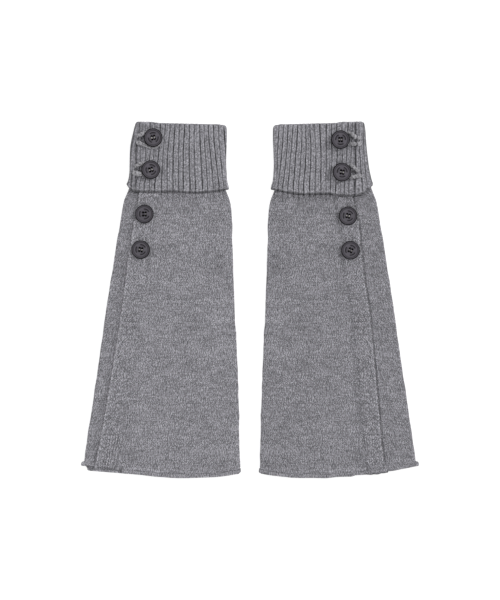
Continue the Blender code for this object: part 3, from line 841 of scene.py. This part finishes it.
def add_body(side, surface):
    """The plain-knit tube, its under strip and its curled hem."""
    ring = stations(60, 10, 44, 10)
    back_part = (ring > 2) & (ring < 3)
    ring[back_part] = 2.5 - 0.5 * np.cos(math.pi * (ring[back_part] - 2))
    ring = np.sort(np.append(ring, STEP_COLUMNS))
    strip = np.full(SHOWN_COLUMNS + len(EDGE_COLUMNS) + HIDDEN_COLUMNS, -197.0)
    across = np.append(ring, strip_columns(side, strip))

    def columns(up):
        round_tube = np.broadcast_to(ring, (len(up), len(ring)))
        return np.concatenate([round_tube, strip_columns(side, up[:, len(ring):])], axis=1)

    wobble = 0.45 * wander(21 + SEEDS[side], across * 60, 60, 14)
    fold = through(BODY_HEM[side], across) + (BODY_PITCH + BODY_WALL) / 2 + wobble
    end = fold + HEM_CURL - BODY_WALL / 2 + 0.5 * wander(23, across * 60, 40, 9)
    rows = body_rows(fold + 0.5)
    out, up, high, turn = turned_sheet(body_section, side, columns, rows, fold, end, (8, CURL_ROWS), -1)
    stage = columns(up)
    back, pitch = body_layers(up)
    free = ramp(stage, 0.0, 0.12) + ramp(stage, 3.7, 4.0)
    dents = 0.16 * waves(31, out, up, 22, 9) * ramp(turn, 0.6, 0.2) * on_front(stage) * free
    high = high + lift(side, out, up) * np.clip((high - back) / pitch, 0, 1)
    laid = ramp(np.linspace(0, 1, CURL_ROWS)[:, None], 0.1, 1.0)
    thin = np.ones_like(out)
    thin[-CURL_ROWS:] -= 0.6 * laid
    high[-CURL_ROWS:] -= 0.5 * laid * np.sign((high - back - pitch / 2)[-CURL_ROWS:])
    coords = knit_coords(out, up, high, MIDDLE_COLUMN, body_tone_and_painted_shade(side, stage, out, up, turn, end))
    under = BODY_WALL / 2 * thin
    over = under + dents - pucker(side, out, up)[0] * ramp(stage, 1.15, 1.0) * free
    return shell(f"knit_body_{side}", side, (out, up, high), over, under, coords, surface, (0,))


def add_band(side, surface):
    """The rib band along the front edge of the body."""
    offset = np.sort(np.append(np.linspace(BODY_WALL / 2, BAND_WIDTH, 53), BAND_WIDTH - 0.1))
    up = body_rows(through(BAND_HEM[side], offset) + 0.3 * wander(41, offset, 12, 5) + BODY_WALL / 2)
    free = ramp(offset, BAND_WIDTH, BAND_WIDTH - 3)
    hook = BAND_HOOK[side] * ramp(up, -191, -196)
    out = through(BAND_EDGE[side], up) + free * (0.3 * wander(43, up, 50, 12) + hook) - offset
    worn = BAND_WORN[side]
    raised = (0.3 - worn) * bell(offset, 2.2) * (0.8 + 0.5 * wander(44, up, 90, 30))
    high = band_high(up, offset) + lift(side, out, up) + raised
    dark, deep = BAND_RIBS[side]
    ribs = 0.5 + 0.5 * np.cos(2 * math.pi * offset / BAND_RIB)
    clear = 0.2 + 0.8 * ramp(up, -120, -175) * ramp(offset, 6, 12)
    moss = waves(45, out * 1.4, up, 7, 3.2, 40)
    relief = (0.1 * moss * (1.2 - clear) - deep * ribs * clear) * free
    # Painted shade in the rib grooves and the moss's dips, then a painted highlight along the front edge,
    # the cuff's painted shadow and the side's tone.
    painted_shade_and_tone = (dark * (ribs - 0.3) * clear + 0.08 * np.clip(-moss, 0, 1) * (1.2 - clear)) * free
    painted_shade_and_tone = painted_shade_and_tone - 0.34 * bell(offset - 2.0, 1.2) + cuff_painted_shadow(side, out, up)
    painted_shade_and_tone = painted_shade_and_tone + blend(*DARKER[side], ramp(offset, BAND_WIDTH, 12))
    # On the right, a painted dark line along the band's rim, and painted light on its slope down near the
    # hem.
    if side == "right":
        painted_shade_and_tone = painted_shade_and_tone + 0.4 * bell(offset - BODY_WALL / 2, 0.5)
        painted_shade_and_tone = painted_shade_and_tone - 0.14 * bell(offset - 22, 2.6) * ramp(up, -156, -170)
    coords = knit_coords(out, up, high, 0, painted_shade_and_tone)
    over = BODY_WALL / 2 + relief - worn * bell(offset, 1.8)
    square = (len(offset) - 1,)
    return shell(f"knit_band_{side}", side, (out, up, high), over, BODY_WALL / 2, coords, surface, square)


def rib_layout(side):
    """(phases, heights, places) of the cuff's columns of points. A groove runs along each whole phase, and
    places holds where the columns lie across the cuff at each height."""
    dense = stations(80, 30, 240, 60, 240, 60, 40)
    heights = np.arange(120.0, 211.0, 3.0)
    spans = []
    for height in heights:
        at = np.clip(height, RIB_UPS[2], RIB_UPS[0])
        out, high = cuff_section(side, 0 * dense + height, dense, True)
        length = lengths(out, high)
        spans.append([length])
        for grooves, part in ((FRONT_GROOVES, dense < 3), (FLAP_GROOVES, dense > 5.5)):
            outs = [-through(list(zip(RIB_UPS, row)), at) for row in grooves[side]]
            spans[-1].append(np.interp(outs, -out[part], length[part]))
    length, first, last = spans[len(spans) // 2]
    between = round((last[0] - first[-1]) / RIB)
    phases = np.concatenate([
        [-first[0] / RIB],
        np.arange(len(first)),
        len(first) - 1 + between + np.arange(len(last)),
        [len(first) + between + len(last) - 2 + (length[-1] - last[-1]) / RIB],
    ])
    whole = np.arange(math.floor(phases[0]), math.ceil(phases[-1]))
    columns = (whole[:, None] + np.array(RIB_STEPS)).ravel()
    columns = columns[(columns > phases[0] + 0.06) & (columns < phases[-1] - 0.06)]
    columns = np.concatenate([phases[:1], columns, phases[-1:]])
    places = []
    for length, first, last in spans:
        knots = np.concatenate([[0], first, last, length[-1:]])
        places.append(np.interp(np.interp(columns, phases, knots), length, dense))
    return columns, heights, np.array(places)


def groove_depth(phase, up, seed):
    """The depth of the groove nearest to each point, uneven from groove to groove and along each one."""
    which = np.round(phase)
    uneven = 0.32 * waves(seed, which * 37.7, up, 45, 8, 40) + 0.15 * np.sin(which * 2.4)
    return np.clip(0.92 + uneven - 0.25 * bell(which + 0.5, 3.5), 0.25, 1.25)


def add_cuff(side, surface):
    """The doubled rib cuff: from its seam up to the top fold, and down again on the outside."""
    phase, heights, places = rib_layout(side)
    flat = places[len(heights) // 2]
    seed = 61 + SEEDS[side]
    part = phase - np.floor(phase)
    depth = np.abs(2 * part - 1)
    from_groove = (0.5 - np.abs(part - 0.5)) * RIB
    fold = through(CUFF_TOP, flat) - 0.5 * depth ** 4
    scallop = 0.5 * (1 - depth ** 2)
    end = through(CUFF_HEM[side], places[2]) + CUFF_WALL / 2 + 0.3 - scallop
    end = end + 0.35 * wander(51 + SEEDS[side], phase * RIB, 50, 8)
    rows = np.array([SEAM_UP + GAP, 150, 165, 180, 192, 199])[:, None] + 0 * flat

    def across(up):
        at = np.clip((up - heights[0]) / (heights[1] - heights[0]), 0, len(heights) - 1.001)
        row = at.astype(int)
        column = np.broadcast_to(np.arange(len(phase)), up.shape)
        return blend(places[row, column], places[row + 1, column], at - row)

    out, up, high, turn = turned_sheet(cuff_section, side, across, rows, fold, end, (12, 50), 1)
    corner = ramp(flat, 2.97, 3.2) * ramp(flat, 4.03, 3.8)
    out = out + 1.6 * corner * np.sin(turn) + 0.25 * waves(seed + 3, phase * RIB / 2, up, 60, 20)
    outside = ramp(turn, 0.3, 1.2)
    groove = groove_depth(phase, up, seed)
    on_flap = flat > 5.5
    if side == "left":
        groove = groove * (1 - 0.8 * ramp(up, 146, 153) * (np.round(phase) == np.round(phase[-1])))
    groove = groove * FLAP_DEPTH[side] ** on_flap
    narrow = ramp(from_groove, 0.74, 0.34)
    cut = RIB_DEPTH * groove * (0.75 * narrow + 0.25 * depth ** 2)
    which = np.floor(phase) * 53.1
    line = bell(part - 0.5 - 0.12 * waves(seed + 4, which, up, 50, 18), 0.09)
    split = line * np.clip(1.6 * waves(seed + 5, which, up / 2, 16, 5, 40) - 0.2, 0, 1)
    swell = 0.16 * waves(seed + 2, phase * RIB, up, 30, 8)
    last_row = up[-1]
    hem = outside * bell(up - last_row - 0.8, 1.1)
    over = CUFF_WALL / 2 - outside * (cut * (1 - 0.5 * hem) + 0.35 * split - swell) + 0.25 * hem
    # Painted shade: a dark line at the turned-down hem, the flap's painted shadow beside its edge, darker
    # grooves and splits, and a dark band along the flap's outer fold.
    hem_painted_shade = 0.42 * outside * bell(up - last_row, 0.6)
    from_flap = through(CUFF_OUTLINE[side], up, FLAP) - out
    flap_painted_shadow = bell(from_flap - 0.4, 1.0) * (flat < 3) * (0.75 + 0.4 * wander(seed + 6, up, 40, 12))
    flap_painted_shadow = flap_painted_shadow * (0.8 + 0.4 * ramp(up, 165, 145))
    painted_shade_and_tone = groove * narrow * (1 - 0.8 * hem) + 0.45 * split + 0.8 * flap_painted_shadow + hem_painted_shade
    inset = through(CUFF_OUTLINE[side], up, OUTER) - CUFF_WALL / 2 - out
    fold_painted_shade, rim_width = FLAP_RIM[side]
    painted_shade_and_tone = np.clip(painted_shade_and_tone + fold_painted_shade * bell(inset - 0.75, rim_width) * on_flap, 0, 1) * outside
    coords = knit_coords(out, up, high, 0, painted_shade_and_tone)
    coords[..., 0] = (7 * np.floor(phase) + 2 * part) * WALE
    return shell(f"knit_cuff_{side}", side, (out, up, high), over, CUFF_WALL / 2, coords, surface)


# ---- loops and buttons


def loop_route(side, number, count):
    """Points along a yarn loop, evenly spaced on a smooth curve: it rests on the cuff and the flap."""
    centre = np.array(BUTTONS[side][number][:2])
    knots = np.array(LOOPS[side, number]) + centre
    place = lengths(*knots.T)
    at = np.linspace(0, place[-1], count)
    out = through(list(zip(place, knots[:, 0])), at)
    up = through(list(zip(place, knots[:, 1])), at)
    ends = bell(at, 2.5) + bell(place[-1] - at, 2.5)
    return out, up, cuff_top(side, out, up) + LOOP_RADIUS - 1.2 * ends, at


def sideways(path):
    """(right, above): the directions across a path at each of its points."""
    forward = unit(np.gradient(path, axis=0))
    right = unit(np.cross(forward, np.array([0.0, 0.0, 1.0])))
    return right, np.cross(right, forward)


def capped(rings, sides):
    """The faces of rings of points, one after another, with one more point to close each end."""
    index = np.arange(rings * sides).reshape(rings, sides)
    after = np.roll(index, -1, axis=1)
    quads = np.stack([index[:-1], after[:-1], after[1:], index[1:]], axis=-1).reshape(-1, 4)
    start = [(rings * sides, int(b), int(a)) for a, b in zip(index[0], after[0])]
    stop = [(rings * sides + 1, int(a), int(b)) for a, b in zip(index[-1], after[-1])]
    return [tuple(quad) for quad in quads.tolist()] + start + stop


def tube(path, radius, sides):
    """(points, faces) of a closed tube. radius is a number or a (points, sides) array."""
    right, above = sideways(path)
    angle = np.arange(sides) * 2 * math.pi / sides
    radius = np.broadcast_to(radius, (len(path), sides))
    ring = right[:, None] * np.cos(angle)[None, :, None] + above[:, None] * np.sin(angle)[None, :, None]
    points = path[:, None] + ring * radius[..., None]
    return np.concatenate([points.reshape(-1, 3), path[:1], path[-1:]]), capped(len(path), sides)


def joined(parts):
    """One mesh out of several (vertices, faces)."""
    vertices, faces, shift = [], [], 0
    for points, polygons in parts:
        vertices.append(points)
        faces += [tuple(i + shift for i in polygon) for polygon in polygons]
        shift += len(points)
    return np.concatenate(vertices), faces


def add_loop(side, number, surface):
    """A crocheted cord: three plies wound round each other, thick and lumpy at the flap and thinner round
    the button. One of them ends in two small knots."""
    count, sides = 200, 10
    out, up, high, length = loop_route(side, number, count)
    centre = placed(side, out, up, high)
    right, above = sideways(centre)
    from_end = np.minimum(length, length[-1] - length)
    size = 0.88 + 0.4 * ramp(from_end, 15, 9) + 0.14 * wander(81 + number, length, 12, 4)
    if (side, number) == ("left", 1):
        size = size + 0.42 * ramp(length[-1] - length, 11, 7)
    knot = 0 * length
    if (side, number) == ("right", 0):
        size = size + 0.3 * bell(from_end - 2.2, 1.7) - 0.9 * bell(from_end - 5.2, 0.9)
        knot = 0.2 * bell(from_end - 1.6, 2.0)
    size = size * np.sqrt(1 - np.clip(1 - from_end / 1.4, 0, 0.999) ** 2)
    plies, ply_shades_and_tones = [], []
    for ply in range(PLIES):
        turn = 2 * math.pi * (length / PLY_TWIST + ply / PLIES)[:, None]
        wound = right * np.cos(turn) + 0.75 * above * np.sin(turn)
        path = centre + wound * (0.85 * size * MM)[:, None]
        lump = 0.92 * size * (1 + 0.2 * np.sin(length * 2 * math.pi / PLY_LUMP + 2 * ply))
        points, faces = tube(path, lump[:, None] * MM, sides)
        plies.append((points, faces))
        ring = points[:-2].reshape(count, sides, 3) - centre[:, None]
        away = np.linalg.norm(ring, axis=-1) / (size[:, None] * MM)
        # Painted shade where the plies face each other, with each loop's own tone, and less of it near the
        # knots.
        ply_shade_and_tone = 0.65 * ramp(away, 1.65, 0.95) + LOOP_SHADE[side, number] - knot[:, None]
        ply_shades_and_tones.append(np.append(ply_shade_and_tone.ravel(), (0.5, 0.5)))
    ply_shades_and_tones = np.concatenate(ply_shades_and_tones)
    coords = np.stack([0 * ply_shades_and_tones, 0 * ply_shades_and_tones, ply_shades_and_tones], axis=-1)
    return new_object(f"yarn_loop_{side}_{number + 1}", *joined(plies), surface, coords)


def button_base(side, number):
    out, up = BUTTONS[side][number][:2]
    if (side, number) in LOOPS:
        loop_out, loop_up, loop_high, _ = loop_route(side, number, 120)
        below = np.hypot(loop_out - out, loop_up - up) < BUTTON_RADIUS
        return loop_high[below].max() + LOOP_RADIUS + 0.1
    angle = np.linspace(0, 2 * math.pi, 40)
    rim_out = out + BUTTON_RADIUS * np.cos(angle)
    rim_up = up + BUTTON_RADIUS * np.sin(angle)
    offset = through(BAND_EDGE[side], rim_up) - rim_out
    return (band_high(rim_up, offset) + lift(side, rim_out, rim_up)).max() + BODY_WALL / 2 + 0.3


def swung(x, y, degrees):
    """Points turned round the button's axis."""
    cosine, sine = math.cos(math.radians(degrees)), math.sin(math.radians(degrees))
    return x * cosine - y * sine, x * sine + y * cosine


def button_disc(number, turned, swing):
    """(points, faces, coords) of a button: a polar grid over its face with a rim, three double arcs sunk in
    it and four holes, and down its rounded edge to the back."""
    steps = 144
    low_high = np.array([0.75, 0.25, 0.0, 0.0])
    low_radii = BUTTON_RADIUS, BUTTON_RADIUS - 0.4, BUTTON_RADIUS - 1.2, 0.3
    outside = np.linspace(9.55, BUTTON_RADIUS, 11)
    radii = np.concatenate([np.linspace(0.3, 4.2, 28), np.linspace(4.35, 9.4, 31), outside, low_radii])
    angle = np.arange(steps) * 2 * math.pi / steps
    radius, spin = np.meshgrid(radii, angle, indexing="ij")
    x, y = radius * np.cos(spin), radius * np.sin(spin)
    on_edge = np.clip((radius - BUTTON_RADIUS + BUTTON_EDGE) / BUTTON_EDGE, 0, 1)
    rounded = np.sqrt(1 - on_edge ** 2)
    face = 1.0 + rounded * (0.75 + 0.9 * ramp(radius, RIM_START, RIM_END)) - 0.2 * ramp(radius, 5.0, 0.0)
    third = (spin - math.radians(turned) + math.pi / 3) % (2 * math.pi / 3) - math.pi / 3
    arcs = bell(radius - ARC_RADII[0], 0.62) + 0.35 * bell(radius - ARC_RADII[1], 0.4)
    arcs = arcs * ramp(np.abs(third), 0.7, 0.58)
    face = face - 0.5 * arcs
    # Painted shade: darker in the arcs and the holes, in a ring inside the rim, as a dark outline at the
    # edge and over the rounded edge and back.
    painted_shade_and_tone = arcs + 0.6 * bell(radius - 8.7, 0.55) + 0.95 * ramp(radius, 9.55, 10.05)
    for hole_x in (-HOLE_X, HOLE_X):
        for hole_y in (-HOLE_Y, HOLE_Y):
            at_x, at_y = swung(hole_x, hole_y, swing)
            distance = np.hypot(x - at_x, y - at_y) - HOLE_RADIUS
            face = face - 1.3 * ramp(distance, 0.15, -0.15)
            painted_shade_and_tone = painted_shade_and_tone + 1.3 * ramp(distance, 0.2, 0.0)
    face[-len(low_high):] = low_high[:, None]
    points = np.stack([x, y, face], axis=-1).reshape(-1, 3)
    points = np.concatenate([points, [[0, 0, face[0].mean()], [0, 0, 0]]])
    painted_shade_and_tone = np.clip(painted_shade_and_tone, 0, 1)
    painted_shade_and_tone[-len(low_high):] = 0.8
    painted_shade_and_tone = np.append(painted_shade_and_tone.ravel(), (0, 0.5))
    coords = np.column_stack([points[:, :2] + 40 * number, painted_shade_and_tone])
    return points * MM, [(face[0], *face[:0:-1]) for face in capped(len(x), steps)], coords


def strands(spot, swing, threads):
    """The thread between a button's holes: two strands over each pair of them, or none."""
    along = np.linspace(-HOLE_Y, HOLE_Y, 17)
    arch = 1.75 + 0.3 * bell(along, 0.7) - 1.7 * ramp(np.abs(along), 0.3, 0.9)
    for middle, thick in zip((-HOLE_X, HOLE_X), threads):
        for shift in (-thick / 3, thick / 3) if thick else ():
            path = np.stack([*swung(0 * along + middle + shift, along, swing), arch], axis=-1)
            yield tube(path * MM + spot, (0.09 + 0.24 * thick) * MM, 8)


def yarn_knot(side, out, up, turned):
    """A short bent end of yarn that lies on the band."""
    high = band_high(up, through(BAND_EDGE[side], up) - out) + lift(side, out, up)
    along = np.linspace(-1.3, 1.3, 9)
    on_x, on_y = swung(along, 0.5 * np.sin(along), turned)
    path = placed(side, out + on_x, up + on_y, high + BODY_WALL / 2 + GAP - 0.1 * along ** 2)
    return tube(path, 0.6 * MM * np.sqrt(1.02 - (along / 1.3) ** 2)[:, None], 8)


def add_buttons(surface, thread, yarns):
    for side in SIDES:
        stitches = []
        for number, (out, up, turned, swing, tilt_out, tilt_up, *threads) in enumerate(BUTTONS[side]):
            points, faces, coords = button_disc(number, turned, swing)
            disc = new_object(f"disc_{side}_{number + 1}", points, faces, surface, coords)
            spot = placed(side, out, up, button_base(side, number) + GAP)
            disc.location = spot
            disc.rotation_euler = (-tilt_up, SIDES[side] * tilt_out, 0)
            fixed(disc, f"button_{side}_{number + 1}")
            stitches += strands(spot, swing, threads)
        fixed(new_object(f"stitches_{side}", *joined(stitches), thread))
        knots = [yarn_knot(side, *knot) for knot in KNOTS[side]]
        if knots:
            fixed(new_object(f"knots_{side}", *joined(knots), yarns[side]))


# ---- table, light and camera


def add_floor():
    """The pale floor just below the pair."""
    pale = Tree("pale_floor")
    pale.set("Base Color", (0.35, 0.35, 0.35, 1))
    pale.set("Roughness", 0.8)
    pale.set("Specular IOR Level", 0.1)
    pale.set("Emission Color", (1, 1, 1, 1))
    pale.set("Emission Strength", 0.8)
    corners = np.array([(-4, -4, -0.0004), (4, -4, -0.0004), (4, 4, -0.0004), (-4, 4, -0.0004)])
    new_object("floor", corners, [(0, 1, 2, 3)], pale.material)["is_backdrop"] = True


def add_light(name, place, size, power):
    lamp = bpy.data.lights.new(name, "AREA")
    lamp.shape = "DISK"
    lamp.size = size
    lamp.energy = power
    made = linked(name, lamp)
    made.location = place
    made.rotation_euler = made.location.to_track_quat("Z", "Y").to_euler()


def add_camera():
    """Straight above, so high that a picture of 600 pixels shows 708 mm."""
    data = bpy.data.cameras.new("camera")
    data.sensor_width = 36
    data.lens = 36 * CAMERA_HEIGHT / PICTURE_HEIGHT
    data.clip_end = 50
    made = linked("camera", data)
    made.location = (0.0003, 0, CAMERA_HEIGHT * MM)
    bpy.context.scene.camera = made


def add_sky():
    """A pale studio all round, a little lighter near the horizon."""
    world = bpy.data.worlds.new("studio")
    bpy.context.scene.world = world
    world.use_nodes = True
    nodes, links = world.node_tree.nodes, world.node_tree.links
    parts = nodes.new("ShaderNodeSeparateXYZ")
    links.new(nodes.new("ShaderNodeTexCoord").outputs["Generated"], parts.inputs[0])
    level = nodes.new("ShaderNodeMapRange")
    for name, value in (("From Min", 0.1), ("From Max", 0.45), ("To Min", 1.05), ("To Max", 0.78)):
        level.inputs[name].default_value = value
    links.new(parts.outputs["Z"], level.inputs["Value"])
    nodes["Background"].inputs["Color"].default_value = (1, 1, 1, 1)
    links.new(level.outputs["Result"], nodes["Background"].inputs["Strength"])


def main():
    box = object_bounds()
    grey = (0.249, 0.245, 0.267)
    pale = (0.266, 0.262, 0.286)
    plain = knit_material("plain_knit", grey, (11, 1.05), 0.5, 1.15, 0.05, 1.45, 0.6, 0.35)
    ribbed = knit_material("rib_knit", pale, (1.3, 6), 0.6, 0.7, 0.12, 0.4, 0.25, 0.35)
    grained = knit_material("band_knit", grey, (8, 1.2), 0.75, 1.1, 0.05, 1.1, 0.35, 0.4, 0.3)
    yarns = {
        "left": yarn_material("yarn", (0.35, 0.345, 0.365)),
        "right": yarn_material("yarn_right", (0.31, 0.306, 0.324)),
    }
    thread = yarn_material("thread", (0.62, 0.6, 0.55))
    plastic = button_material()
    for side in SIDES:
        body = fixed(add_body(side, plain), f"body_{side}")
        band = fixed(add_band(side, grained), f"band_{side}")
        cuff = fixed(add_cuff(side, ribbed), f"cuff_{side}")
        loops = [add_loop(side, number, yarns[side]) for number in range(2)]
        for number, loop in enumerate(loops):
            fixed(loop, f"loop_{side}_{number + 1}")
    add_buttons(plastic, thread, yarns)
    add_floor()
    add_light("key", (4.6, 2.4, 4.8), 2.0, 205)
    add_camera()
    add_sky()
    bpy.context.scene.view_settings.view_transform = "Standard"
    return box


cad_box = main()
